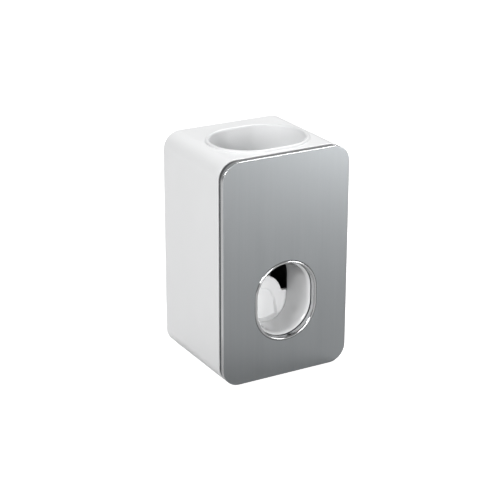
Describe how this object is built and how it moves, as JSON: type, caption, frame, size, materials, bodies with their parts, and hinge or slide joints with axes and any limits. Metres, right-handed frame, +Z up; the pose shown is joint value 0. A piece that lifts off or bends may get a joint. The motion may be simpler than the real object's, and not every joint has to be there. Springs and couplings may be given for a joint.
{
  "type": "toothpaste dispenser",
  "caption": "Wall-mounted toothpaste dispenser: white rounded housing, brushed metal front with a brush window, a tube well in the top and a push pad that works a piston pump.",
  "frame": {"origin": "middle of the bounding box at its base, under the dispenser", "axes": "+X along the plate's width, to the viewer's right when facing the front; +Y from the front plate back to the wall; +Z up"},
  "size_m": [0.062, 0.0548, 0.1019],
  "materials": {
    "white_gloss": "satin gloss ABS",
    "well_white": "satin gloss ABS",
    "carrier_grey": "fine texture",
    "tape_black": "foam tape",
    "brushed_plate": "brushed, clear anodised",
    "trim_chrome": "polished",
    "black_frame": "fine texture",
    "steel": "zinc plated",
    "pump_natural": "natural polypropylene",
    "seal_silicone": "soft silicone",
    "valve_silicone": "soft silicone",
    "acetal_white": "acetal",
    "o_ring_black": "nitrile",
    "back_white": "fine texture",
    "adhesive_foam": "closed-cell foam with adhesive"
  },
  "bodies": {
    "housing": {"outer_shell": "white_gloss", "tube_well": "well_white", "plate_carrier": "carrier_grey", "plate_tape": "tape_black", "front_plate": "brushed_plate", "window_trim": "trim_chrome", "brush_bowl": "white_gloss", "chassis": "black_frame", "chassis_screws": "steel", "pump_body": "pump_natural", "pump_screws": "steel", "neck_seal": "seal_silicone", "seal_ring": "acetal_white", "inlet_flap": "valve_silicone", "cylinder_cap": "acetal_white", "nozzle_valve": "valve_silicone", "nozzle_collar": "acetal_white", "pivot_pin": "steel", "pin_clips": "steel", "return_spring": "steel", "back_cover": "back_white", "cover_screws": "steel"},
    "push_lever": {"rocker_lever": "black_frame", "push_pad": "white_gloss"},
    "pump_piston": {"piston": "acetal_white", "piston_o_ring": "o_ring_black"},
    "wall_mount": {"wall_bracket": "back_white", "adhesive_pad": "adhesive_foam"}
  },
  "joints": [
    {"name": "lever_pivot", "type": "hinge", "parent": "housing", "child": "push_lever", "pos_m": [0, 0.00392, 0.047], "axis": [1, 0, 0], "range_deg": [0, 18], "stiffness_Nm_per_rad": 0.1, "springref_deg": -8.59, "deforming": ["return_spring"]},
    {"name": "piston_slide", "type": "slide", "parent": "housing", "child": "pump_piston", "axis": [0, -1, 0], "range_m": [0, 0.00489]},
    {"name": "bracket_lift", "type": "slide", "parent": "housing", "child": "wall_mount", "axis": [0, 0, -1], "range_m": [0, 0.011]}
  ],
  "couplings": [
    {"joint": "piston_slide", "follows": "lever_pivot", "m_per_rad": 0.015563}
  ]
}
